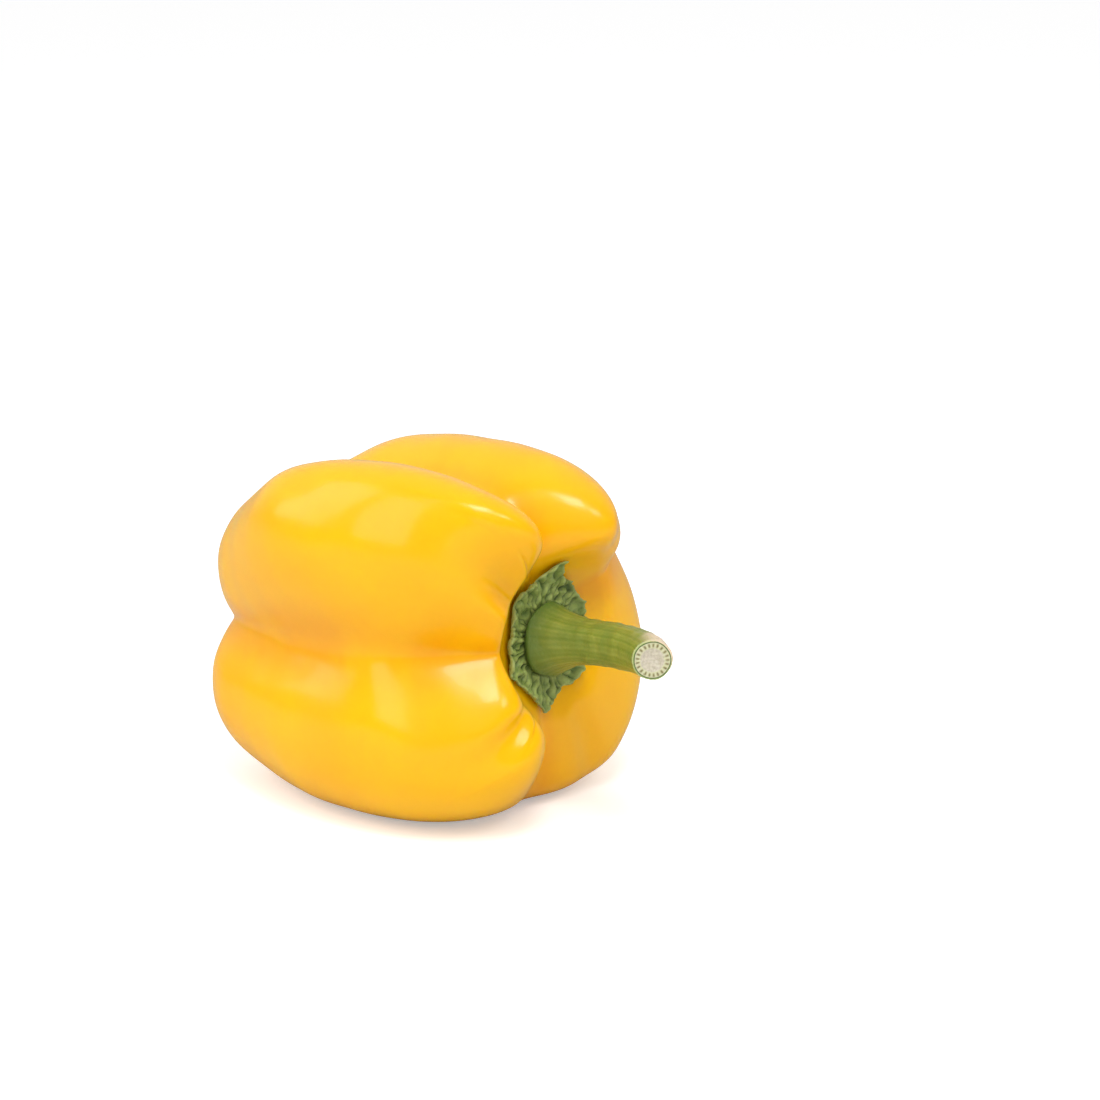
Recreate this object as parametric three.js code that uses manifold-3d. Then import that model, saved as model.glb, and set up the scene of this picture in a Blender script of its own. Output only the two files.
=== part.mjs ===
// A whole bell pepper, picked and lying on its side: a four-lobed fruit, the calyx that caps its
// stem end and the cut stem.
//
// Millimetres. In the finished group +X runs along the fruit towards the stem, +Z is up, the fruit
// rests on z = 0 and the origin lies under the middle of the whole outline.
//
// Each piece is first shaped as it grew, in a frame of its own: +Y up the axis towards the stem,
// the origin at the calyx's seat, and `turn` in degrees round the axis, from the far side (0)
// over the top (90) to the near side (180) once the fruit lies down.

import * as THREE from 'three';
import { NURBSCurve } from 'three/addons/curves/NURBSCurve.js';
import { mergeVertices } from 'three/addons/utils/BufferGeometryUtils.js';
import Module from 'manifold-3d';

// Fruit. Shares of HALF_WIDTH are measured out from the axis, shares of LENGTH down from the seat.
const HALF_WIDTH = 46; // from the axis to the side of a full lobe
const LENGTH = 82; // from the calyx's seat down to the tips of the lobes
const SEAT_RADIUS = 9; // the flat ground that the calyx grows from
const WALL_RUN = 9; // from the seat's edge out to where the shoulders start to climb
const DIMPLE_DEPTH = 0.12; // how far the hollow at the blossom end goes in, as a share of LENGTH
const FLAT_SINK = 0.7; // how much of the lower lobes is pressed flat by the fruit's own weight
const NOSE_UP = 4; // degrees by which the stem end of the lying fruit points up

// The lobes' crests. rise: height of the shoulder above the seat, mm. inner and outer: where that
// shoulder starts and ends.
const LOBES = [
  { crest: 73.5, reach: 0.95, rise: 15, inner: 0.49, outer: 0.74, belly: 0.57, toe: 0.63, tip: 1.02 },
  { crest: 134, reach: 1.16, rise: 18.5, inner: 0.58, outer: 0.82, belly: 0.5, toe: 0.65, tip: 1.02 },
  { crest: 225, reach: 1.03, rise: 12, inner: 0.44, outer: 0.74, belly: 0.48, toe: 0.78, tip: 1.03 },
  { crest: 312, reach: 0.96, rise: 3.5, inner: 0.4, outer: 0.92, belly: 0.39, toe: 0.8, tip: 0.93 },
];

// Furrows: shallow dents across the lobes' shoulders, fading down the side. depth is a share of the
// lobe's height over its creases, width is in degrees, along and length are shares of the skin line.
const FURROWS = [
  { at: 62, along: 0.31, depth: 0.12, width: 8, length: 0.13 },
  { at: 145, along: 0.25, depth: 0.8, width: 14, length: 0.17 },
  { at: 165, along: 0.27, depth: 0.4, width: 12, length: 0.17 },
  { at: 217, along: 0.27, depth: 0.36, width: 7, length: 0.11 },
  { at: 297, along: 0.3, depth: 0.28, width: 7, length: 0.14 },
];

// The creases between them, each listed with the lobe that it comes before. waist: how far out it
// is halfway down the side.
const CREASES = [
  { at: 36, reach: 0.73, waist: 0.79, rise: 8.5, outer: 1.08, toe: 0.4, tip: 0.92 },
  { at: 104.5, reach: 0.72, waist: 0.78, rise: 5, outer: 1.04, toe: 0.42, tip: 0.91 },
  { at: 179, reach: 0.66, waist: 0.8, rise: 6.2, outer: 0.84, toe: 0.44, tip: 1.05 },
  { at: 270, reach: 0.84, waist: 0.82, rise: 0.8, outer: 1.06, toe: 0.53, tip: 1.0 },
];
const CREASE_SHARP = 0.13; // rounding of a crease at the fruit's ends, 0 for a knife edge
const CREASE_SOFT = 0.4; // what is added to it halfway down the side

// Calyx.
const CALYX_RADIUS = 13.2; // to the notches between its teeth
const CALYX_EDGE = 0.8; // thickness at the rim
const CALYX_CENTRE = 1.6; // thickness under the stem
const CALYX_CURL = 0.8; // how far the rim lifts off the fruit
const TOOTH_WIDTH = 13; // degrees from a tooth's tip to where it has faded to a third
const TEETH = [
  { at: 28, length: 1.2 },
  { at: 86, length: 5 },
  { at: 137, length: 6.4 },
  { at: 203, length: 2.6 },
  { at: 268, length: 4.4 },
  { at: 323, length: 2.4 },
];

// Stem.
const STEM_RADIUS = 5.1;
const STEM_TAPER = 0.6; // how much narrower than that the cut is
const STEM_FLARE = 8.6; // radius of its foot on the calyx
const STEM_HEIGHT = 40; // from the seat to the cut, along the fruit's axis
const STEM_LEAN = 10; // how far its cut end has bent towards the near side
const STEM_RISE = 1; // and how far it has bent up
const STEM_RIBS = 5;
const RIB_HEIGHT = 0.2;
const FOOT_EDGE = 1.2; // height of the foot's rounded edge

const GAP = 0.35; // clearance where one piece sits on another

// Fineness of the nets of points.
const AROUND = { fruit: 84, calyx: 72, stem: 30 };
const FRUIT_ROWS = 40;
const CALYX_ROWS = 7;
const STEM_ROWS = { cut: 2, shaft: 18, foot: 4 };

const radians = THREE.MathUtils.degToRad;

// A smooth line through the neighbourhood of its control points, starting and ending on the ends.
function smoothLine(points, steps) {
  const spans = points.length - 3;
  const inner = Array.from({ length: spans + 1 }, (_, i) => i / spans);
  const knots = [0, 0, 0, ...inner, 1, 1, 1];
  const controls = points.map(([out, up]) => new THREE.Vector4(out, up, 0, 1));
  return new NURBSCurve(3, knots, controls).getPoints(steps);
}

// A closed net of points: a lathe joins them up, and place(turn, row) says where each one goes.
// Row 0 is the top. It and the last row lie on the axis, so place answers them alike for every turn.
function closedNet(around, rows, place) {
  const arc = Array.from({ length: rows + 1 }, (_, i) => {
    const angle = (Math.PI * i) / rows;
    return new THREE.Vector2(Math.sin(angle), -Math.cos(angle));
  });
  const net = new THREE.LatheGeometry(arc, around);
  const position = net.getAttribute('position');
  for (let i = 0; i <= around; i++) {
    for (let row = 0; row <= rows; row++) {
      const p = place((360 * i) / around, row);
      position.setXYZ(i * (rows + 1) + rows - row, p.x, p.y, p.z);
    }
  }
  net.computeVertexNormals();
  return net;
}

// The point `out` from the axis and `up` along it.
function onAxis(turn, out, up) {
  return new THREE.Vector3(out * Math.sin(radians(turn)), up, out * Math.cos(radians(turn)));
}

function crestLine({ reach, rise, inner, outer, belly, toe, tip }) {
  const side = reach * HALF_WIDTH;
  const foot = toe * HALF_WIDTH;
  const end = tip * LENGTH;
  return smoothLine([
    [0, 0],
    [SEAT_RADIUS, 0],
    [SEAT_RADIUS + WALL_RUN, 0.08 * rise],
    [inner * side, 1.15 * rise],
    [outer * side, 1.22 * rise],
    [1.06 * side, -0.05 * LENGTH - 0.1 * rise],
    [1.05 * side, -(belly + 0.05) * LENGTH],
    [0.53 * (side + foot), -0.73 * LENGTH],
    [1.02 * foot, -0.99 * end],
    [0.45 * foot, -1.02 * end],
    [0, -(1 - DIMPLE_DEPTH) * LENGTH],
  ], FRUIT_ROWS);
}

function creaseLine({ reach, waist, rise, outer, toe, tip }) {
  const side = reach * HALF_WIDTH;
  const middle = waist * HALF_WIDTH;
  const foot = toe * HALF_WIDTH;
  const end = tip * LENGTH;
  return smoothLine([
    [0, 0],
    [SEAT_RADIUS, 0],
    [SEAT_RADIUS + WALL_RUN, 0.15 * rise],
    [0.62 * side, rise],
    [outer * side, 0.4 * rise - 0.05 * LENGTH],
    [1.05 * middle, -0.17 * LENGTH],
    [middle, -0.4 * LENGTH],
    [0.525 * (middle + foot), -0.73 * LENGTH],
    [foot, -0.96 * end],
    [0.45 * foot, -0.98 * end],
    [0, -(1 - DIMPLE_DEPTH) * LENGTH],
  ], FRUIT_ROWS);
}

const lobes = LOBES.map((lobe) => ({ ...lobe, line: crestLine(lobe) }));
const creases = CREASES.map((crease) => ({ ...crease, line: creaseLine(crease) }));

// How full a lobe is: 1 on its crest (u = 0), 0 in the crease (u = 1), with the crease rounded.
function fullness(u, rounding) {
  const across = Math.cos((Math.PI / 2) * u);
  return (Math.hypot(across, rounding) - rounding) / (Math.hypot(1, rounding) - rounding);
}

function creaseRounding(share) {
  const side = THREE.MathUtils.clamp((share - 0.25) / 0.6, 0, 1);
  return CREASE_SHARP + CREASE_SOFT * Math.sin(Math.PI * side) ** 2;
}

// What the furrows leave of a lobe's height.
function leftByFurrows(turn, share) {
  return FURROWS.reduce((left, { at, along, depth, width, length }) => {
    const across = (((turn - at + 540) % 360) - 180) / width;
    const down = (share - along) / length;
    return left * (1 - depth * Math.exp(-across * across - down * down));
  }, 1);
}

// The fruit's skin line at one turn, from the seat over the shoulder to the blossom end.
function skinLine(turn) {
  const first = creases[0].at;
  const round = first + ((turn - first + 360) % 360);
  const k = creases.findLastIndex((crease) => crease.at <= round);
  const lobe = lobes[k];
  const near = round < lobe.crest ? creases[k] : creases[(k + 1) % creases.length];
  const span = round < lobe.crest
    ? lobe.crest - near.at
    : (near.at - lobe.crest + 360) % 360;
  const u = Math.abs(round - lobe.crest) / span;
  return near.line.map((inCrease, row) => {
    const share = row / FRUIT_ROWS;
    const full = fullness(u, creaseRounding(share)) * leftByFurrows(round, share);
    return inCrease.clone().lerp(lobe.line[row], full);
  });
}

// Height of the skin `out` from the axis, on the ground round the seat.
function skinHeight(line, out) {
  const row = Math.max(1, line.findIndex((p) => p.x >= out));
  const [a, b] = [line[row - 1], line[row]];
  return THREE.MathUtils.lerp(a.y, b.y, (out - a.x) / (b.x - a.x));
}

function fruitGeometry() {
  const lines = Array.from({ length: AROUND.fruit + 1 }, (_, i) => skinLine((360 * i) / AROUND.fruit));
  return closedNet(AROUND.fruit, FRUIT_ROWS, (turn, row) => {
    const p = lines[Math.round((turn * AROUND.fruit) / 360)][row];
    return onAxis(turn, p.x, p.y);
  });
}

function calyxReach(turn) {
  return TEETH.reduce((reach, { at, length }) => {
    const away = Math.abs(((turn - at + 540) % 360) - 180) / TOOTH_WIDTH;
    return reach + length * Math.exp(-away);
  }, CALYX_RADIUS);
}

// The calyx's two faces `out` from the axis: its underside clears the fruit, its rim curls up.
function calyxFaces(line, turn, out) {
  const share = out / calyxReach(turn);
  const under = skinHeight(line, out) + GAP + CALYX_CURL * share ** 4;
  return { under, over: under + THREE.MathUtils.lerp(CALYX_CENTRE, CALYX_EDGE, share) };
}

function calyxGeometry() {
  return closedNet(AROUND.calyx, 2 * CALYX_ROWS + 1, (turn, row) => {
    const isTop = row <= CALYX_ROWS;
    const share = (isTop ? row : 2 * CALYX_ROWS + 1 - row) / CALYX_ROWS;
    const out = share * calyxReach(turn);
    const { under, over } = calyxFaces(skinLine(turn), turn, out);
    return onAxis(turn, out, isTop ? over : under);
  });
}

// Half the stem's thickness at t, from 0 at the foot to 1 at the cut.
function stemRadius(turn, t) {
  const flare = (STEM_FLARE - STEM_RADIUS) * Math.max(0, 1 - t / 0.34) ** 2.2;
  const ribs = RIB_HEIGHT * Math.cos(STEM_RIBS * radians(turn));
  return STEM_RADIUS - STEM_TAPER * t ** 5 + flare + ribs;
}

function stemGeometry() {
  const base = calyxFaces(skinLine(0), 0, 0).over + GAP + FOOT_EDGE;
  const spine = new NURBSCurve(3, [0, 0, 0, 0, 1, 1, 1, 1], [
    new THREE.Vector4(0, base, 0, 1),
    new THREE.Vector4(0.9 * STEM_RISE, 0.42 * STEM_HEIGHT, 0, 1),
    new THREE.Vector4(1.2 * STEM_RISE, 0.79 * STEM_HEIGHT, -0.12 * STEM_LEAN, 1),
    new THREE.Vector4(STEM_RISE, STEM_HEIGHT, -STEM_LEAN, 1),
  ]);
  const { cut, shaft, foot } = STEM_ROWS;

  // A point of the ring at t, `share` of the way out from the middle of the stem.
  function ringPoint(turn, t, share) {
    const along = spine.getTangent(t).normalize();
    const upright = new THREE.Vector3(0, 1, 0);
    const tilt = new THREE.Quaternion().setFromUnitVectors(upright, along);
    const spoke = onAxis(turn, share * stemRadius(turn, t), 0).applyQuaternion(tilt);
    return spine.getPoint(t).add(spoke);
  }

  return closedNet(AROUND.stem, cut + shaft + foot, (turn, row) => {
    if (row <= cut) {
      return ringPoint(turn, 1, row / cut);
    }
    if (row <= cut + shaft) {
      return ringPoint(turn, 1 - (row - cut) / shaft, 1);
    }
    const out = stemRadius(turn, 0) * (1 - (row - cut - shaft - 1) / (foot - 1));
    const { over } = calyxFaces(skinLine(turn), turn, out);
    return onAxis(turn, out, over + GAP);
  });
}

const wasm = await Module();
wasm.setup();

function toSolid(geometry) {
  const bare = geometry.clone();
  bare.deleteAttribute('normal');
  bare.deleteAttribute('uv');
  const joined = mergeVertices(bare, 1e-4);
  return new wasm.Manifold(new wasm.Mesh({
    numProp: 3,
    vertProperties: Float32Array.from(joined.getAttribute('position').array),
    triVerts: Uint32Array.from(joined.getIndex().array),
  }));
}

function toGeometry(solid) {
  const { vertProperties, triVerts } = solid.getMesh();
  const geometry = new THREE.BufferGeometry();
  geometry.setAttribute('position', new THREE.BufferAttribute(vertProperties, 3));
  geometry.setIndex(new THREE.BufferAttribute(triVerts, 1));
  geometry.computeVertexNormals();
  return geometry;
}

// Lays what has grown along +Y down along +X, rolled about its own axis and then nose up.
function layDown(roll) {
  const swap = new THREE.Matrix4().makeBasis(
    new THREE.Vector3(0, 0, 1),
    new THREE.Vector3(1, 0, 0),
    new THREE.Vector3(0, 1, 0),
  );
  const pitch = new THREE.Matrix4().makeRotationY(-radians(NOSE_UP));
  return pitch.multiply(new THREE.Matrix4().makeRotationX(roll)).multiply(swap);
}

function lowest(points, matrix) {
  return Math.min(...points.map((p) => p.clone().applyMatrix4(matrix).z));
}

// The roll at which the fruit rests on both of its lower lobes at once.
function levelRoll() {
  const first = CREASES[2].at;
  const middle = CREASES[3].at;
  const last = CREASES[0].at + 360;
  const side = (from, to) => Array.from({ length: 25 }, (_, i) => from + ((to - from) * i) / 24)
    .flatMap((turn) => skinLine(turn % 360).map((p) => onAxis(turn, p.x, p.y)));
  const near = side(first, middle);
  const far = side(middle, last);
  let [low, high] = [-0.2, 0.2];
  for (let i = 0; i < 24; i++) {
    const roll = (low + high) / 2;
    const lying = layDown(roll);
    if (lowest(near, lying) < lowest(far, lying)) {
      high = roll;
    } else {
      low = roll;
    }
  }
  return low;
}

// Pieces of the pepper, laid down and set on the ground.
const lying = layDown(levelRoll());
const grown = {
  fruit: fruitGeometry().applyMatrix4(lying),
  calyx: calyxGeometry().applyMatrix4(lying),
  stem: stemGeometry().applyMatrix4(lying),
};
const outline = new THREE.Box3();
for (const piece of Object.values(grown)) {
  piece.computeBoundingBox();
  outline.union(piece.boundingBox);
}
const middle = outline.getCenter(new THREE.Vector3());
const ground = outline.min.z + FLAT_SINK;
for (const piece of Object.values(grown)) {
  piece.translate(-middle.x, -middle.y, -ground);
}

const block = new THREE.BoxGeometry(400, 400, 40).translate(0, 0, -20);
const pressed = toGeometry(toSolid(grown.fruit).subtract(toSolid(block)));

const skin = new THREE.MeshStandardMaterial({ color: 0xf7b516, roughness: 0.25 });
const leaf = new THREE.MeshStandardMaterial({ color: 0x4f7a34, roughness: 0.6 });
const stalk = new THREE.MeshStandardMaterial({ color: 0x8a9440, roughness: 0.5 });

function piece(name, geometry, material) {
  const mesh = new THREE.Mesh(geometry, material);
  mesh.name = name;
  return mesh;
}

const pepper = new THREE.Group();
pepper.name = 'bell_pepper';
pepper.add(piece('fruit', pressed, skin));
pepper.add(piece('calyx', grown.calyx, leaf));
pepper.add(piece('stem', grown.stem, stalk));

export default pepper;
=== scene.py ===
# A whole yellow bell pepper lying on its side: the glossy four-lobed fruit, the crinkled calyx in
# its hollow and the bent stem with a fresh cut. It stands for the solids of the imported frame, whose
# shape it repeats with more detail.
#
# Sizes are in millimetres until a piece is made. While it grows, +X runs up the fruit's axis to the
# stem, the origin is the calyx's seat, and a turn goes round the axis in degrees: 0 on the far side,
# 90 at the top, 180 on the near side, once the pepper has been laid down.
import math
import bpy
import numpy as np
from mathutils import Matrix, Vector


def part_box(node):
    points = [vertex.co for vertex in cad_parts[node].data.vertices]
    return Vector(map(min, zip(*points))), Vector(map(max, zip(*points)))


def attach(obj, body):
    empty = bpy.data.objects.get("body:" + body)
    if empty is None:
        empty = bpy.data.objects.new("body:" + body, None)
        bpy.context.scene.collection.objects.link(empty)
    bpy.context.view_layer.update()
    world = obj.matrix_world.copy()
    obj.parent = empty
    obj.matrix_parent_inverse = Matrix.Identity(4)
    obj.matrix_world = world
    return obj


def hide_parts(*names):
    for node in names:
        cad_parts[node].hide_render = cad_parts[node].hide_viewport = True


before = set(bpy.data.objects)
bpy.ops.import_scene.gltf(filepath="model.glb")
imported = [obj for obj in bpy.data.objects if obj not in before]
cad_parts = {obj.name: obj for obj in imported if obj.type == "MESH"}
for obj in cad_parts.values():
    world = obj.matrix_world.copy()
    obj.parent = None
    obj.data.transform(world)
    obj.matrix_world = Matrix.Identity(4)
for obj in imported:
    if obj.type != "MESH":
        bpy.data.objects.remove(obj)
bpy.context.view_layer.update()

MM = 0.001

# Fruit, as in the frame. Shares of HALF_WIDTH go out from the axis, shares of LENGTH down from the seat.
HALF_WIDTH = 46.0
LENGTH = 82.0
SEAT_RADIUS = 9.0
WALL_RUN = 9.0
DIMPLE_DEPTH = 0.12
NOSE_UP = 4.0
LOBES = [
    dict(crest=73.5, reach=0.95, rise=15, inner=0.49, outer=0.74, belly=0.57, toe=0.63, tip=1.02),
    dict(crest=134, reach=1.16, rise=18.5, inner=0.58, outer=0.82, belly=0.5, toe=0.65, tip=1.02),
    dict(crest=225, reach=1.03, rise=12, inner=0.44, outer=0.74, belly=0.48, toe=0.78, tip=1.03),
    dict(crest=312, reach=0.96, rise=3.5, inner=0.4, outer=0.92, belly=0.39, toe=0.8, tip=0.93),
]
FURROWS = [
    dict(at=62, along=0.31, depth=0.12, width=8, length=0.13),
    dict(at=145, along=0.25, depth=0.8, width=14, length=0.17),
    dict(at=165, along=0.27, depth=0.4, width=12, length=0.17),
    dict(at=217, along=0.27, depth=0.36, width=7, length=0.11),
    dict(at=297, along=0.3, depth=0.28, width=7, length=0.14),
]
CREASES = [
    dict(at=36, reach=0.73, waist=0.79, rise=8.5, outer=1.08, toe=0.4, tip=0.92),
    dict(at=104.5, reach=0.72, waist=0.78, rise=5, outer=1.04, toe=0.42, tip=0.91),
    dict(at=179, reach=0.66, waist=0.8, rise=6.2, outer=0.84, toe=0.44, tip=1.05),
    dict(at=270, reach=0.84, waist=0.82, rise=0.8, outer=1.06, toe=0.53, tip=1.0),
]
CREASE_SHARP = 0.13
CREASE_SOFT = 0.4

# Calyx and stem, as in the frame.
CALYX_RADIUS = 13.2
CALYX_EDGE = 0.8
CALYX_CENTRE = 1.6
CALYX_CURL = 0.8
TOOTH_WIDTH = 13.0
TEETH = [(28, 1.2), (86, 5.0), (137, 6.4), (203, 2.6), (268, 4.4), (323, 2.4)]
STEM_RADIUS = 5.1
STEM_TAPER = 0.6
STEM_FLARE = 8.6
STEM_HEIGHT = 40
STEM_LEAN = 10.0
STEM_RISE = 1.0
STEM_RIBS = 5
RIB_HEIGHT = 0.2
FOOT_EDGE = 1.2
GAP = 0.35

# How finely the pieces are divided.
FRUIT_TURNS = 384
SKIN_ROWS = 226

# Cut end of the stem, in shares of its radius: where the flat face ends, and its ring of bundles.
CUT_FACE = 0.95
RING_MIDDLE = 0.74
RING_WIDTH = 0.1
DRY_SIDE = 38  # the turn that the dry band at the tip is centred on, and its half width
DRY_WIDTH = 66

# Camera: how it looks at the pepper, and how far the pepper lies from the middle of the picture.
AZIMUTH = 38.7
ELEVATION = 14.2
DISTANCE = 700.0
LENS = 96.8
LEFT_OF_MIDDLE = 29.0
BELOW_MIDDLE = 15.0
AXIS_AIM = 34.0  # the point of the fruit's axis that these are measured from, behind the seat


def smooth_line(points, t):
    """Points along a cubic B-spline with these control points, from 0 at its start to 1."""
    points = np.asarray(points, float)
    count = len(points)
    knots = np.concatenate([np.zeros(3), np.linspace(0, 1, count - 2), np.ones(3)])
    t = np.minimum(t, 1 - 1e-9)
    basis = ((t[:, None] >= knots[:-1]) & (t[:, None] < knots[1:])).astype(float)
    for degree in (1, 2, 3):
        nxt = np.zeros((len(t), basis.shape[1] - 1))
        for i in range(nxt.shape[1]):
            rise = knots[i + degree] - knots[i]
            fall = knots[i + degree + 1] - knots[i + 1]
            if rise > 0:
                nxt[:, i] += (t - knots[i]) / rise * basis[:, i]
            if fall > 0:
                nxt[:, i] += (knots[i + degree + 1] - t) / fall * basis[:, i + 1]
        basis = nxt
    return basis @ points


def turn_from(turns, at):
    """How far a turn is from another, -180 to 180 degrees."""
    return (turns - at + 180) % 360 - 180


def crest_line(lobe, t):
    side = lobe["reach"] * HALF_WIDTH
    foot = lobe["toe"] * HALF_WIDTH
    end = lobe["tip"] * LENGTH
    rise = lobe["rise"]
    return smooth_line([
        (0, 0),
        (SEAT_RADIUS, 0),
        (SEAT_RADIUS + WALL_RUN, 0.08 * rise),
        (lobe["inner"] * side, 1.15 * rise),
        (lobe["outer"] * side, 1.22 * rise),
        (1.06 * side, -0.05 * LENGTH - 0.1 * rise),
        (1.05 * side, -(lobe["belly"] + 0.05) * LENGTH),
        (0.53 * (side + foot), -0.73 * LENGTH),
        (1.02 * foot, -0.99 * end),
        (0.45 * foot, -1.02 * end),
        (0, -(1 - DIMPLE_DEPTH) * LENGTH),
    ], t)


def crease_line(crease, t):
    side = crease["reach"] * HALF_WIDTH
    waist = crease["waist"] * HALF_WIDTH
    foot = crease["toe"] * HALF_WIDTH
    end = crease["tip"] * LENGTH
    rise = crease["rise"]
    return smooth_line([
        (0, 0),
        (SEAT_RADIUS, 0),
        (SEAT_RADIUS + WALL_RUN, 0.15 * rise),
        (0.62 * side, rise),
        (crease["outer"] * side, 0.4 * rise - 0.05 * LENGTH),
        (1.05 * waist, -0.17 * LENGTH),
        (waist, -0.4 * LENGTH),
        (0.525 * (waist + foot), -0.73 * LENGTH),
        (foot, -0.96 * end),
        (0.45 * foot, -0.98 * end),
        (0, -(1 - DIMPLE_DEPTH) * LENGTH),
    ], t)


def skin_lines(turns, t):
    """The skin at each turn as (out, up) along t, and how full the lobe is there, 0 in a crease."""
    crests = [crest_line(lobe, t) for lobe in LOBES]
    creases = [crease_line(crease, t) for crease in CREASES]
    middle = np.clip((t - 0.25) / 0.6, 0, 1)
    rounding = CREASE_SHARP + CREASE_SOFT * np.sin(np.pi * middle) ** 2
    lines = np.zeros((len(turns), len(t), 2))
    fullness = np.zeros((len(turns), len(t)))
    first = CREASES[0]["at"]
    for i, turn in enumerate(turns):
        turn = first + (turn - first) % 360
        k = max(j for j, crease in enumerate(CREASES) if crease["at"] <= turn)
        crest = LOBES[k]["crest"]
        near = k if turn < crest else (k + 1) % len(CREASES)
        span = (crest - CREASES[near]["at"]) if turn < crest else (CREASES[near]["at"] - crest) % 360
        across = math.cos(math.pi / 2 * abs(turn - crest) / span)
        full = (np.hypot(across, rounding) - rounding) / (np.hypot(1, rounding) - rounding)
        for furrow in FURROWS:
            across = turn_from(turn, furrow["at"]) / furrow["width"]
            spread = across ** 2 + ((t - furrow["along"]) / furrow["length"]) ** 2
            full = full * (1 - furrow["depth"] * np.exp(-spread))
        lines[i] = creases[near] + (crests[k] - creases[near]) * full[:, None]
        fullness[i] = full
    return lines, fullness


def on_axis(turns, out, up):
    """The points `out` from the axis and `up` along it."""
    angle = np.radians(turns)
    return np.stack([up + 0 * angle, out * np.cos(angle), out * np.sin(angle)], -1)


def lay_down(points, roll):
    """Rolls points about the fruit's axis, then tips its stem end up."""
    c, s = math.cos(roll), math.sin(roll)
    x = points[..., 0]
    y = points[..., 1] * c - points[..., 2] * s
    z = points[..., 1] * s + points[..., 2] * c
    c, s = math.cos(math.radians(NOSE_UP)), math.sin(math.radians(NOSE_UP))
    return np.stack([c * x - s * z, y, s * x + c * z], -1)


def level_roll():
    """The roll at which the fruit rests on both of its lower lobes at once."""
    turns = np.linspace(0, 357.5, 144)
    lines, _ = skin_lines(turns, np.linspace(0, 1, 41))
    points = on_axis(turns[:, None], lines[..., 0], lines[..., 1])
    near = (turns >= CREASES[2]["at"]) & (turns < CREASES[3]["at"])
    far = (turns >= CREASES[3]["at"]) | (turns < CREASES[0]["at"])
    low, high = -0.2, 0.2
    for _ in range(24):
        roll = (low + high) / 2
        height = lay_down(points, roll)[..., 2]
        if height[near].min() < height[far].min():
            high = roll
        else:
            low = roll
    return low


ROLL = level_roll()


def seat_place():
    """Where the seat is in the row frame, from the box of the frame's fruit."""
    turns = np.linspace(0, 359, 360)
    lines, _ = skin_lines(turns, np.linspace(0, 1, 161))
    points = lay_down(on_axis(turns[:, None], lines[..., 0], lines[..., 1]), ROLL).reshape(-1, 3)
    low, high = (np.array(corner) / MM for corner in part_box("fruit"))
    middle = (points.min(0) + points.max(0)) / 2
    place = (low + high) / 2 - middle
    place[2] = high[2] - points[:, 2].max()
    return place


SEAT = seat_place()


def place_down(points):
    """From the frame that the pepper grew in to the row frame, still in millimetres."""
    return lay_down(points, ROLL) + SEAT


def swells(points, size, seed, waves=9):
    """Smooth uneven waves about `size` long, from -1 to 1, the same in each run."""
    random = np.random.default_rng(seed)
    total = np.zeros(points.shape[:-1])
    for _ in range(waves):
        way = random.normal(size=3)
        way *= 2 * math.pi / (size * random.uniform(0.7, 1.5) * np.linalg.norm(way))
        total += np.sin(points @ way + random.uniform(0, 2 * math.pi))
    return total / math.sqrt(waves) / 1.4


def outward(net):
    """Normals of a net of points [turn][row]."""
    around = np.roll(net, -1, 0) - np.roll(net, 1, 0)
    along = np.gradient(net, axis=1)
    normal = np.cross(along, around)
    length = np.linalg.norm(normal, axis=-1, keepdims=True)
    return normal / np.maximum(length, 1e-9)


def net_piece(name, net, marks, material, node):
    """A closed piece from a net of points [turn][row], whose first and last rows are one point each.
    Marks are values kept on its points for its material."""
    turns, rows = net.shape[:2]

    def flatten(values):
        middle = values[:, 1:-1].reshape(turns * (rows - 2), *values.shape[2:])
        return np.concatenate([values[:1, 0], middle, values[:1, -1]])

    def index(turn, row):
        return 1 + (turn % turns) * (rows - 2) + row - 1

    last = 1 + turns * (rows - 2)
    faces = []
    for i in range(turns):
        faces.append((0, index(i, 1), index(i + 1, 1)))
        for j in range(1, rows - 2):
            faces.append((index(i, j), index(i, j + 1), index(i + 1, j + 1), index(i + 1, j)))
        faces.append((index(i, rows - 2), last, index(i + 1, rows - 2)))
    mesh = bpy.data.meshes.new(name)
    mesh.from_pydata((flatten(place_down(net)) * MM).tolist(), [], faces)
    for mark, values in marks.items():
        attribute = mesh.attributes.new(mark, "FLOAT", "POINT")
        attribute.data.foreach_set("value", flatten(values).astype(np.float32))
    mesh.polygons.foreach_set("use_smooth", [True] * len(mesh.polygons))
    mesh.materials.append(material)
    mesh.validate()
    piece = bpy.data.objects.new(name, mesh)
    bpy.context.scene.collection.objects.link(piece)
    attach(piece, "root")
    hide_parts(node)
    return piece


# ---------------------------------------------------------------- camera

def make_camera():
    azimuth, elevation = math.radians(AZIMUTH), math.radians(ELEVATION)
    ahead = Vector((-math.sin(azimuth) * math.cos(elevation),
                    math.cos(azimuth) * math.cos(elevation), -math.sin(elevation)))
    right = Vector((math.cos(azimuth), math.sin(azimuth), 0))
    up = right.cross(ahead)
    aim = Vector(SEAT) - Vector((AXIS_AIM, 0, 0))
    spot = aim - DISTANCE * ahead + LEFT_OF_MIDDLE * right + BELOW_MIDDLE * up
    data = bpy.data.cameras.new("camera")
    data.lens = LENS
    data.sensor_width = 36
    data.clip_end = 20
    camera = bpy.data.objects.new("camera", data)
    turn = Matrix((right, up, -ahead)).transposed().to_4x4()
    camera.matrix_world = Matrix.Translation(spot * MM) @ turn
    bpy.context.scene.collection.objects.link(camera)
    bpy.context.scene.camera = camera


make_camera()


# ---------------------------------------------------------------- materials

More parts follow.
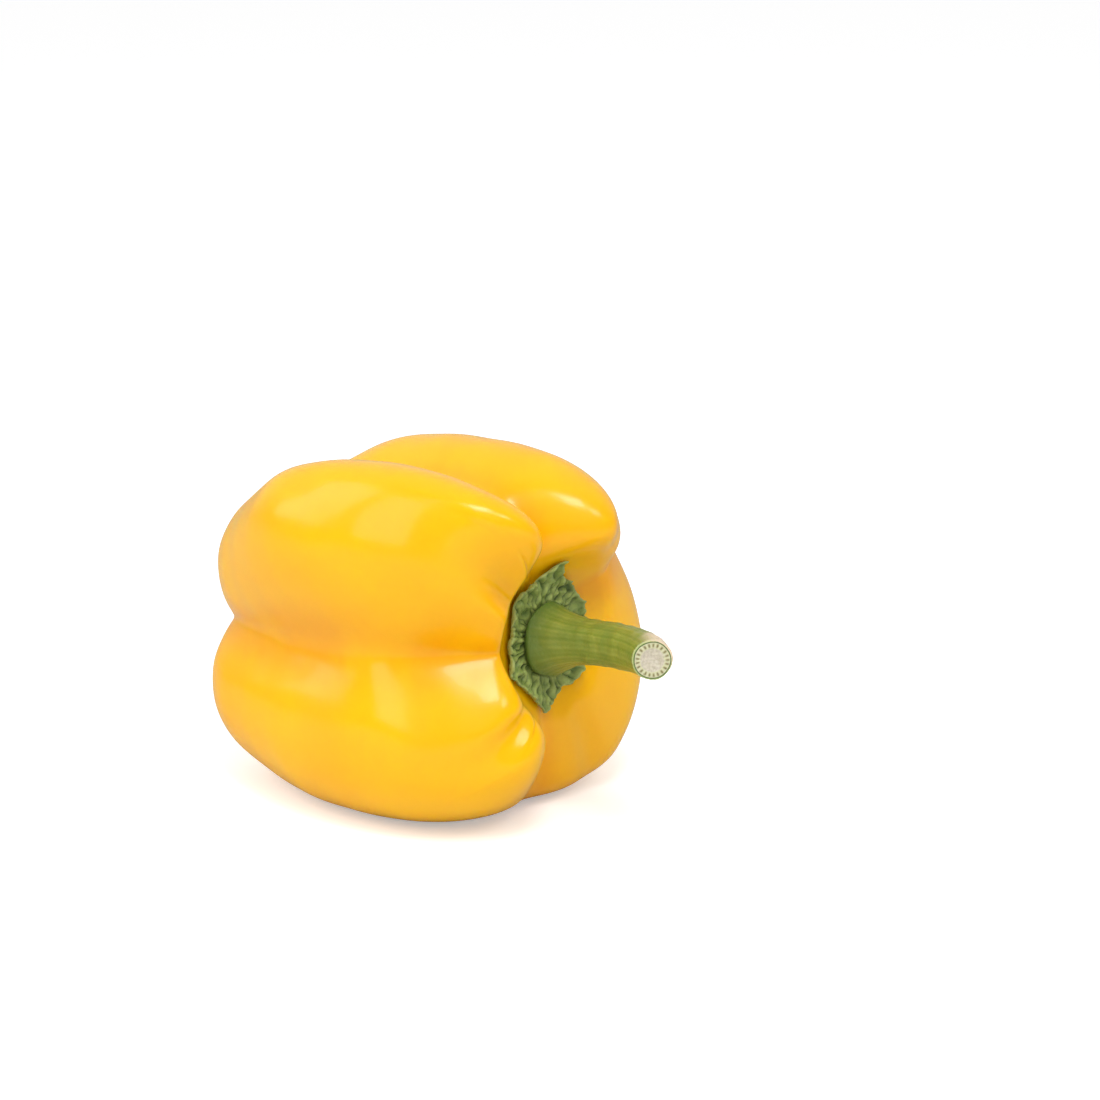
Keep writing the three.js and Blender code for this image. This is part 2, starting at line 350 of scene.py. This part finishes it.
class Nodes:
    """Short names for building one node tree."""

    MIX_A, MIX_B, MIX_RESULT = 6, 7, 2  # a mix node's colour sockets, among those of its other kinds

    def __init__(self, tree):
        self.tree = tree
        self.column = 0

    def add(self, kind, inputs=None, **settings):
        node = self.tree.nodes.new(kind)
        node.location = (self.column * 200, 0)
        self.column += 1
        for key, value in settings.items():
            setattr(node, key, value)
        for key, value in (inputs or {}).items():
            self.put(node, key, value)
        return node

    def put(self, node, key, value):
        socket = node.inputs[key]
        if isinstance(value, bpy.types.NodeSocket):
            self.tree.links.new(value, socket)
        else:
            socket.default_value = value

    def math(self, operation, a, b=0.0, c=0.0, clamp=False):
        node = self.add("ShaderNodeMath", {0: a, 1: b, 2: c}, operation=operation, use_clamp=clamp)
        return node.outputs[0]

    def mix(self, factor, a, b, blend="MIX"):
        node = self.add("ShaderNodeMix", data_type="RGBA", blend_type=blend)
        self.put(node, "Factor", factor)
        self.put(node, self.MIX_A, a)
        self.put(node, self.MIX_B, b)
        return node.outputs[self.MIX_RESULT]

    def noise(self, where, scale, detail=3.0, roughness=0.5, distortion=0.0):
        inputs = {"Vector": where, "Scale": scale, "Detail": detail, "Roughness": roughness,
                  "Distortion": distortion}
        return self.add("ShaderNodeTexNoise", inputs).outputs["Fac"]

    def ramp(self, value, low, high, to_low=0.0, to_high=1.0):
        inputs = {"Value": value, "From Min": low, "From Max": high, "To Min": to_low, "To Max": to_high}
        return self.add("ShaderNodeMapRange", inputs, interpolation_type="SMOOTHSTEP").outputs[0]

    def mark(self, name):
        return self.add("ShaderNodeAttribute", attribute_name=name).outputs["Fac"]


def colour(red, green, blue):
    """A colour as it looks on a screen, 0 to 255, as the shader wants it."""
    def linear(value):
        value /= 255
        return value / 12.92 if value <= 0.04045 else ((value + 0.055) / 1.055) ** 2.4
    return (linear(red), linear(green), linear(blue), 1.0)


def group(name, inputs, outputs):
    tree = bpy.data.node_groups.new(name, "ShaderNodeTree")
    for label, kind in inputs:
        tree.interface.new_socket(label, in_out="INPUT", socket_type=kind)
    for label, kind in outputs:
        tree.interface.new_socket(label, in_out="OUTPUT", socket_type=kind)
    nodes = Nodes(tree)
    start = nodes.add("NodeGroupInput")
    return tree, nodes, start.outputs


def finish_group(nodes, results):
    end = nodes.add("NodeGroupOutput")
    for label, socket in results.items():
        nodes.put(end, label, socket)


def make_tissue_group():
    """Living tissue: soft patches of a second colour and fine cells, for the skin, leaf and stem."""
    tree, n, given = group(
        "plant_tissue",
        [("Colour", "NodeSocketColor"), ("Patch Colour", "NodeSocketColor"),
         ("Patches per Metre", "NodeSocketFloat"), ("Patch Amount", "NodeSocketFloat"),
         ("Cells per Metre", "NodeSocketFloat"), ("Cell Colour Change", "NodeSocketFloat")],
        [("Colour", "NodeSocketColor"), ("Patches", "NodeSocketFloat"), ("Cells", "NodeSocketFloat")],
    )
    where = n.add("ShaderNodeTexCoord").outputs["Object"]
    patches = n.ramp(n.noise(where, given["Patches per Metre"], 4.0, 0.55, 0.4), 0.35, 0.68)
    cells = n.noise(where, given["Cells per Metre"], 2.0, 0.6)
    patchy = n.math("MULTIPLY", patches, given["Patch Amount"])
    mixed = n.mix(patchy, given["Colour"], given["Patch Colour"])
    shade = n.math("MULTIPLY_ADD", n.math("SUBTRACT", cells, 0.5), given["Cell Colour Change"], 1.0)
    shaded = n.add("ShaderNodeVectorMath", {0: mixed, "Scale": shade}, operation="SCALE").outputs[0]
    finish_group(n, {"Colour": shaded, "Patches": patches, "Cells": cells})
    return tree


TISSUE = make_tissue_group()


def new_material(name):
    material = bpy.data.materials.new(name)
    material.use_nodes = True
    material.node_tree.nodes.clear()
    return material, Nodes(material.node_tree)


def tissue(n, inputs):
    node = n.add("ShaderNodeGroup", node_tree=TISSUE)
    for key, value in inputs.items():
        n.put(node, key, value)
    return node.outputs


def finish_material(n, shader):
    end = n.add("ShaderNodeOutputMaterial")
    n.put(end, "Surface", shader.outputs[0])


def make_skin_material():
    """Waxy yellow skin over juicy flesh, with painted shade: deeper orange in the creases."""
    material, n = new_material("pepper_skin")
    # painted shade: the skin turns deeper orange towards the bottom of each crease
    painted_crease_shade = n.ramp(n.mark("painted_crease_shade"), 0.55, 1.0)
    cells = tissue(n, {
        "Colour": n.mix(n.math("MULTIPLY", painted_crease_shade, 0.45), colour(240, 176, 2), colour(230, 142, 2)),
        "Patch Colour": colour(245, 190, 5), "Patches per Metre": 22.0, "Patch Amount": 0.6,
        "Cells per Metre": 900.0, "Cell Colour Change": 0.05,
    })
    where = n.add("ShaderNodeTexCoord").outputs["Object"]
    ripple = n.noise(where, 75.0, 2.0, 0.45)
    height = n.math("MULTIPLY_ADD", cells["Cells"], 0.05, ripple)
    bump = n.add("ShaderNodeBump", {"Strength": 0.16, "Distance": 0.0006, "Height": height})
    shader = n.add("ShaderNodeBsdfPrincipled", {
        "Base Color": cells["Colour"],
        "Roughness": n.ramp(cells["Patches"], 0.0, 1.0, 0.26, 0.2),
        "Normal": bump.outputs[0],
        "Subsurface Weight": 0.3, "Subsurface Radius": (1.0, 0.45, 0.06), "Subsurface Scale": 0.005,
        "Specular IOR Level": 0.36, "Coat Weight": 0.15, "Coat Roughness": 0.07,
    })
    finish_material(n, shader)
    return material


def make_calyx_material():
    """Crinkled leaf: creases darkened with painted shade, ridges paled with painted light, paler midribs,
    and a rim paled with painted sheen.
    """
    material, n = new_material("calyx_leaf")
    # painted light and shade: ridges and puckers are painted paler, creases darker green
    fold = n.ramp(n.mark("fold"), 0.1, 0.95)
    leaf = n.mix(fold, colour(62, 82, 30), colour(158, 172, 92))
    leaf = n.mix(n.math("MULTIPLY", n.mark("vein"), 0.5), leaf, colour(142, 164, 92))
    cells = tissue(n, {
        "Colour": leaf,
        "Patch Colour": colour(98, 120, 48), "Patches per Metre": 420.0, "Patch Amount": 0.5,
        "Cells per Metre": 2400.0, "Cell Colour Change": 0.5,
    })
    # painted sheen: the outer rim of the leaf is painted paler
    painted_rim_sheen = n.ramp(n.mark("reach"), 0.94, 1.0)
    edged = n.mix(n.math("MULTIPLY", painted_rim_sheen, 0.6), cells["Colour"], colour(160, 176, 104))
    bump = n.add("ShaderNodeBump", {"Strength": 0.55, "Distance": 0.0003, "Height": cells["Cells"]})
    shader = n.add("ShaderNodeBsdfPrincipled", {
        "Base Color": edged, "Roughness": n.ramp(cells["Cells"], 0.3, 0.7, 0.38, 0.58),
        "Normal": bump.outputs[0], "Subsurface Weight": 0.08, "Subsurface Radius": (0.3, 0.6, 0.1),
        "Subsurface Scale": 0.0015, "Specular IOR Level": 0.45,
    })
    finish_material(n, shader)
    return material


def make_stem_material():
    """Ribbed green stem, with the rings of its cut end: rind, bundles and pith."""
    material, n = new_material("stem_rind")
    cut = n.mark("cut")
    cells = tissue(n, {
        "Colour": n.mix(n.mark("streak"), colour(116, 131, 42), colour(146, 152, 66)),
        "Patch Colour": colour(104, 126, 48), "Patches per Metre": 130.0, "Patch Amount": 0.5,
        "Cells per Metre": 1800.0, "Cell Colour Change": 0.2,
    })
    # painted shade: the rind darkens towards the foot of the stem, where it meets the calyx
    rind = n.mix(n.mark("foot"), cells["Colour"], colour(94, 116, 46))
    grain = n.ramp(cells["Cells"], 0.2, 0.8)
    pith = n.mix(grain, colour(178, 168, 146), colour(206, 198, 180))
    ring = n.mix(n.mark("bundle"), colour(200, 198, 160), colour(122, 112, 68))
    face = n.mix(n.ramp(cut, 0.56, 0.62), pith, ring)
    face = n.mix(n.ramp(cut, 0.86, 0.89), face, colour(74, 96, 44))
    face = n.mix(n.ramp(cut, 0.91, 0.95), face, colour(164, 178, 112))
    surface = n.mix(n.ramp(cut, -0.5, -0.4), rind, face)
    dry = n.math("MULTIPLY", n.mark("bark"), n.ramp(cells["Cells"], 0.2, 0.45))
    surface = n.mix(dry, surface, colour(222, 200, 172))
    bump = n.add("ShaderNodeBump", {"Strength": 0.5, "Distance": 0.0003, "Height": cells["Cells"]})
    shader = n.add("ShaderNodeBsdfPrincipled", {
        "Base Color": surface, "Roughness": n.ramp(cells["Patches"], 0.0, 1.0, 0.34, 0.46),
        "Normal": bump.outputs[0], "Subsurface Weight": 0.12, "Subsurface Radius": (0.5, 0.8, 0.15),
        "Subsurface Scale": 0.002, "Specular IOR Level": 0.45,
    })
    finish_material(n, shader)
    return material


# ---------------------------------------------------------------- fruit

def make_fruit():
    turns = np.arange(0, 360, 360 / FRUIT_TURNS)
    t = np.linspace(0, 1, SKIN_ROWS)
    lines, fullness = skin_lines(turns, t)
    net = on_axis(turns[:, None], lines[..., 0], lines[..., 1])
    fade = np.clip(np.minimum(t, 1 - t) / 0.12, 0, 1)
    uneven = 0.35 * swells(net, 34, 3) + 0.12 * swells(net, 14, 5)
    net = net + outward(net) * (uneven * fade)[..., None]
    # the ground presses its two flats
    lying = place_down(net)
    lift = np.maximum(0, -lying[..., 2])
    tip = math.radians(NOSE_UP)
    up = np.array([math.sin(tip), math.cos(tip) * math.sin(ROLL), math.cos(tip) * math.cos(ROLL)])
    net = net + lift[..., None] * up
    # the mark 1 - fullness paints shade into the creases of the skin
    return net_piece("fruit_skin", net, {"painted_crease_shade": 1 - fullness}, make_skin_material(), "fruit")


# ---------------------------------------------------------------- calyx

def calyx_reach(turns):
    reach = np.full(len(turns), CALYX_RADIUS)
    for at, length in TEETH:
        away = np.abs(turn_from(turns, at)) / TOOTH_WIDTH
        reach += length * np.exp(-away)
    return reach


def ground_height(lines, out):
    """Height of the skin `out` from the axis, near the seat."""
    height = np.zeros_like(out)
    for i, line in enumerate(lines):
        inner = int(np.argmax(line[:, 0])) + 1
        height[i] = np.interp(out[i], line[:inner, 0], line[:inner, 1])
    return height


def crumple(turns, out, spokes, seed):
    """Creases that run out along the leaf, bending and forking: 1 in a crease and 0 on a ridge."""
    flat = on_axis(turns[:, None], out, 0 * out)
    bend = 0.6 * swells(flat, 9, seed) + 0.5 * swells(flat, 3.5, seed + 1)
    wave = np.sin(spokes / 2 * np.radians(turns)[:, None] + 1.9 * bend)
    return 1 - np.sqrt(np.abs(wave) * (1 + 0.25 * swells(flat, 5, seed + 2))).clip(0, 1)


def make_calyx():
    turns = np.arange(0, 360, 0.75)
    top_rows, under_rows = 64, 14
    shares = np.concatenate([np.linspace(0, 1, top_rows), np.linspace(1, 0, under_rows)])
    is_top = np.arange(len(shares)) < top_rows
    lines, _ = skin_lines(turns, np.linspace(0, 1, SKIN_ROWS))
    ring = on_axis(turns, np.full(len(turns), 16.0), np.zeros(len(turns)))
    ragged = 0.4 * swells(ring, 5, 11) + 0.25 * swells(ring, 1.8, 14)
    reach = calyx_reach(turns) + ragged
    out = reach[:, None] * shares
    ground = ground_height(lines, out)
    leafy = np.clip((shares - 0.42) / 0.2, 0, 1)
    creased = np.maximum(crumple(turns, out, 18, 21), 0.75 * crumple(turns, out, 34, 25))
    fold = 1 - creased
    flat = on_axis(turns[:, None], out, 0 * out)
    pucker = 0.5 + 0.5 * swells(flat, 2.6, 29, 14)
    midribs = sum(np.exp(-turn_from(turns[:, None], at) ** 2 / 9) for at, _ in TEETH)
    midribs = midribs * leafy * (1 - 0.5 * shares)
    wave = 0.5 * swells(ring, 8, 12)[:, None] * shares ** 4
    thick = CALYX_CENTRE + (CALYX_EDGE - CALYX_CENTRE) * shares
    relief = leafy * (1.1 * (fold - 0.65) + 0.8 * (pucker - 0.5) + 0.3 * midribs)
    relief = relief + 0.3 * np.exp(-((shares - 0.97) / 0.04) ** 2)
    lift = GAP + CALYX_CURL * shares ** 4 + np.maximum(wave, -0.3 * shares ** 4)
    under = ground + lift
    up = np.where(is_top, under + np.maximum(thick + relief, 0.3), under)
    net = on_axis(turns[:, None], out, up)
    # the fold mark carries the painted light on ridges and puckers and the painted shade in creases
    marks = {"fold": np.where(is_top, 0.65 * fold + 0.35 * pucker, 0.5), "vein": midribs,
             "reach": np.broadcast_to(shares, fold.shape)}
    return net_piece("calyx_leaf", net, marks, make_calyx_material(), "calyx")


# ---------------------------------------------------------------- stem

def stem_radius(turns, t):
    flare = (STEM_FLARE - STEM_RADIUS) * np.maximum(0, 1 - t / 0.34) ** 2.2
    ribs = RIB_HEIGHT * np.cos(STEM_RIBS * np.radians(turns)) * (1 - 0.8 * t)
    return STEM_RADIUS - STEM_TAPER * t ** 5 + flare + ribs


def make_stem():
    turns = np.arange(0, 360, 1.5)
    angle = np.radians(turns)
    lines, _ = skin_lines(turns, np.linspace(0, 1, SKIN_ROWS))
    base = GAP + CALYX_CENTRE + GAP + FOOT_EDGE
    spine = np.array([(base, 0, 0), (0.42 * STEM_HEIGHT, 0, 0.9 * STEM_RISE),
                      (0.79 * STEM_HEIGHT, -0.12 * STEM_LEAN, 1.2 * STEM_RISE),
                      (STEM_HEIGHT, -STEM_LEAN, STEM_RISE)])
    # from the middle of the cut to its edge, over the rounded edge and down the shaft
    face, edge, shaft, feet = 30, 5, 170, 9
    t = np.concatenate([np.ones(face), np.linspace(1, 0.985, edge), np.linspace(0.98, 0, shaft)])
    rounded = CUT_FACE + 0.05 * np.sin(np.linspace(0.2, 1, edge) * math.pi / 2)
    share = np.concatenate([np.linspace(0, CUT_FACE, face), rounded, np.ones(shaft)])
    # the spine is a cubic curve: weights of its four points, and of its direction
    places = [(1 - t) ** 3, 3 * t * (1 - t) ** 2, 3 * t ** 2 * (1 - t), t ** 3]
    slopes = [-(1 - t) ** 2, (1 - t) ** 2 - 2 * t * (1 - t), 2 * t * (1 - t) - t ** 2, t ** 2]
    centre = sum(weight[:, None] * point for weight, point in zip(places, spine))
    along = sum(weight[:, None] * point for weight, point in zip(slopes, spine))
    along /= np.linalg.norm(along, axis=1, keepdims=True)
    streak = 0.5 + 0.5 * np.sin(23 * angle + 1.3 * np.sin(5 * angle)) * np.sin(9 * angle + 0.4)
    on_shaft = np.clip((share - 0.9) / 0.1, 0, 1)
    radius = stem_radius(turns[:, None], t[None, :]) * share
    radius = radius + 0.09 * (streak[:, None] - 0.5) * on_shaft
    net = np.zeros((len(turns), len(t), 3))
    for row in range(len(t)):
        tilt = np.array(Vector((1, 0, 0)).rotation_difference(Vector(along[row])).to_matrix())
        spokes = np.stack([0 * angle, np.cos(angle), np.sin(angle)], -1) @ tilt.T
        net[:, row] = centre[row] + spokes * radius[:, row:row + 1]
    net = net + outward(net) * (0.12 * swells(net, 5, 31) * on_shaft)[..., None]
    # the cut: a sunken pith, a raised ring of bundles and a slight lip of rind
    radial = np.where(np.arange(len(t)) < face, share, 0)
    ring_wave = (0.5 + 0.5 * np.cos(21 * angle + 0.5 * np.sin(4 * angle)))[:, None] ** 1.5
    in_ring = np.exp(-((radial - RING_MIDDLE) / RING_WIDTH) ** 4)[None, :] * (radial > 0)
    dish = -0.3 * np.exp(-(radial / 0.5) ** 4) * (np.arange(len(t)) < face)
    rough = 0.05 * swells(net, 0.9, 32) * (radial > 0)
    net = net + along * (dish + 0.18 * in_ring * ring_wave + rough)[..., None]
    # the foot sits on the calyx
    foot_out = stem_radius(turns[:, None], np.zeros((1, feet))) * np.linspace(1, 0, feet)
    foot_up = ground_height(lines, foot_out) + GAP + CALYX_CENTRE + GAP
    net = np.concatenate([net, on_axis(turns[:, None], foot_out, foot_up)], 1)
    rows = net.shape[1]
    cut = np.full((len(turns), rows), -1.0)
    cut[:, :face + edge - 2] = share[:face + edge - 2]
    bundle = np.zeros((len(turns), rows))
    bundle[:, :face] = ring_wave * np.exp(-((share[:face] - RING_MIDDLE) / RING_WIDTH) ** 4)
    # the foot mark paints shade onto the lower stem and its foot
    foot = np.ones((len(turns), rows))
    foot[:, :len(t)] = np.clip(1 - t / 0.16, 0, 1) ** 1.5
    bark = np.zeros((len(turns), rows))
    dry_side = np.exp(-(turn_from(turns, DRY_SIDE) / DRY_WIDTH) ** 4)[:, None]
    ragged = 0.76 + 0.05 * swells(net[:, :len(t)], 3, 33)
    bark[:, :len(t)] = dry_side * np.clip((t - ragged) / 0.1, 0, 1) * (share > 0.94)
    marks = {"cut": cut, "bundle": bundle, "foot": foot, "bark": bark,
             "streak": np.repeat(streak[:, None], rows, 1)}
    return net_piece("stem_rind", net, marks, make_stem_material(), "stem")


make_fruit()
make_calyx()
make_stem()


# ---------------------------------------------------------------- floor and light
# From here on, places are in metres in the row frame.

MIDDLE_HEIGHT = 0.045  # of the pepper


def make_floor():
    """A plain white sweep, a little brighter to the eye than the light that it sends back."""
    mesh = bpy.data.meshes.new("floor")
    mesh.from_pydata([(-6, -6, 0), (6, -6, 0), (6, 12, 0), (-6, 12, 0)], [], [(0, 1, 2, 3)])
    floor = bpy.data.objects.new("floor", mesh)
    material, n = new_material("white_floor")
    path = n.add("ShaderNodeLightPath").outputs
    shader = n.add("ShaderNodeBsdfPrincipled", {
        "Base Color": n.mix(path["Is Glossy Ray"], (0.86, 0.86, 0.86, 1), (0.4, 0.4, 0.4, 1)),
        "Roughness": 0.9, "Specular IOR Level": 0.1, "Emission Color": (1, 1, 1, 1),
        "Emission Strength": n.math("MULTIPLY", path["Is Camera Ray"], 0.36),
    })
    finish_material(n, shader)
    mesh.materials.append(material)
    bpy.context.scene.collection.objects.link(floor)


def soft_box(name, spot, aim, size, power, mirrored=True):
    data = bpy.data.lights.new(name, "AREA")
    data.shape = "RECTANGLE"
    data.size, data.size_y = size
    data.energy = power
    lamp = bpy.data.objects.new(name, data)
    lamp.location = spot
    lamp.rotation_euler = (Vector(aim) - Vector(spot)).to_track_quat("-Z", "Y").to_euler()
    lamp.visible_glossy = mirrored
    bpy.context.scene.collection.objects.link(lamp)


def make_world():
    """White behind and above the pepper, darker where the room is, on the camera's side."""
    world = bpy.data.worlds.new("studio")
    world.use_nodes = True
    world.node_tree.nodes.clear()
    n = Nodes(world.node_tree)
    way = n.add("ShaderNodeTexCoord").outputs["Generated"]
    azimuth = math.radians(AZIMUTH)
    behind = (-math.sin(azimuth), math.cos(azimuth), 0.7)
    backness = n.add("ShaderNodeVectorMath", {0: way, 1: behind}, operation="DOT_PRODUCT").outputs["Value"]
    room = n.ramp(backness, -0.6, 0.6, 0.5, 0.8)
    mirrored = n.ramp(backness, 0.3, 0.95, 0.05, 0.55)
    path = n.add("ShaderNodeLightPath").outputs
    glossy = n.math("MULTIPLY", path["Is Glossy Ray"], n.math("SUBTRACT", mirrored, room))
    strength = n.math("MAXIMUM", n.math("ADD", room, glossy), path["Is Camera Ray"])
    back = n.add("ShaderNodeBackground", {"Color": (1, 1, 1, 1), "Strength": strength})
    end = n.add("ShaderNodeOutputWorld")
    n.put(end, "Surface", back.outputs[0])
    bpy.context.scene.world = world


def place_round(azimuth, elevation, distance):
    """A place round the pepper: azimuth 0 is the near side and 90 the stem end."""
    azimuth, elevation = math.radians(azimuth), math.radians(elevation)
    flat = distance * math.cos(elevation)
    height = MIDDLE_HEIGHT + distance * math.sin(elevation)
    return (flat * math.sin(azimuth), -flat * math.cos(azimuth), height)


make_floor()
middle = (-0.01, 0, MIDDLE_HEIGHT)
soft_box("overhead", place_round(50, 60, 0.9), middle, (0.28, 0.28), 2.6)
soft_box("stem_side", place_round(80, 45, 1.0), middle, (0.22, 0.22), 1.1)
soft_box("window", place_round(-11, 30, 1.0), middle, (0.44, 0.74), 1.9)
soft_box("side_window", place_round(-55, 30, 1.0), middle, (0.44, 0.74), 1.9)
soft_box("key", place_round(42, 34, 1.2), middle, (0.8, 0.8), 3.2, mirrored=False)
make_world()
bpy.context.scene.view_settings.view_transform = "Standard"
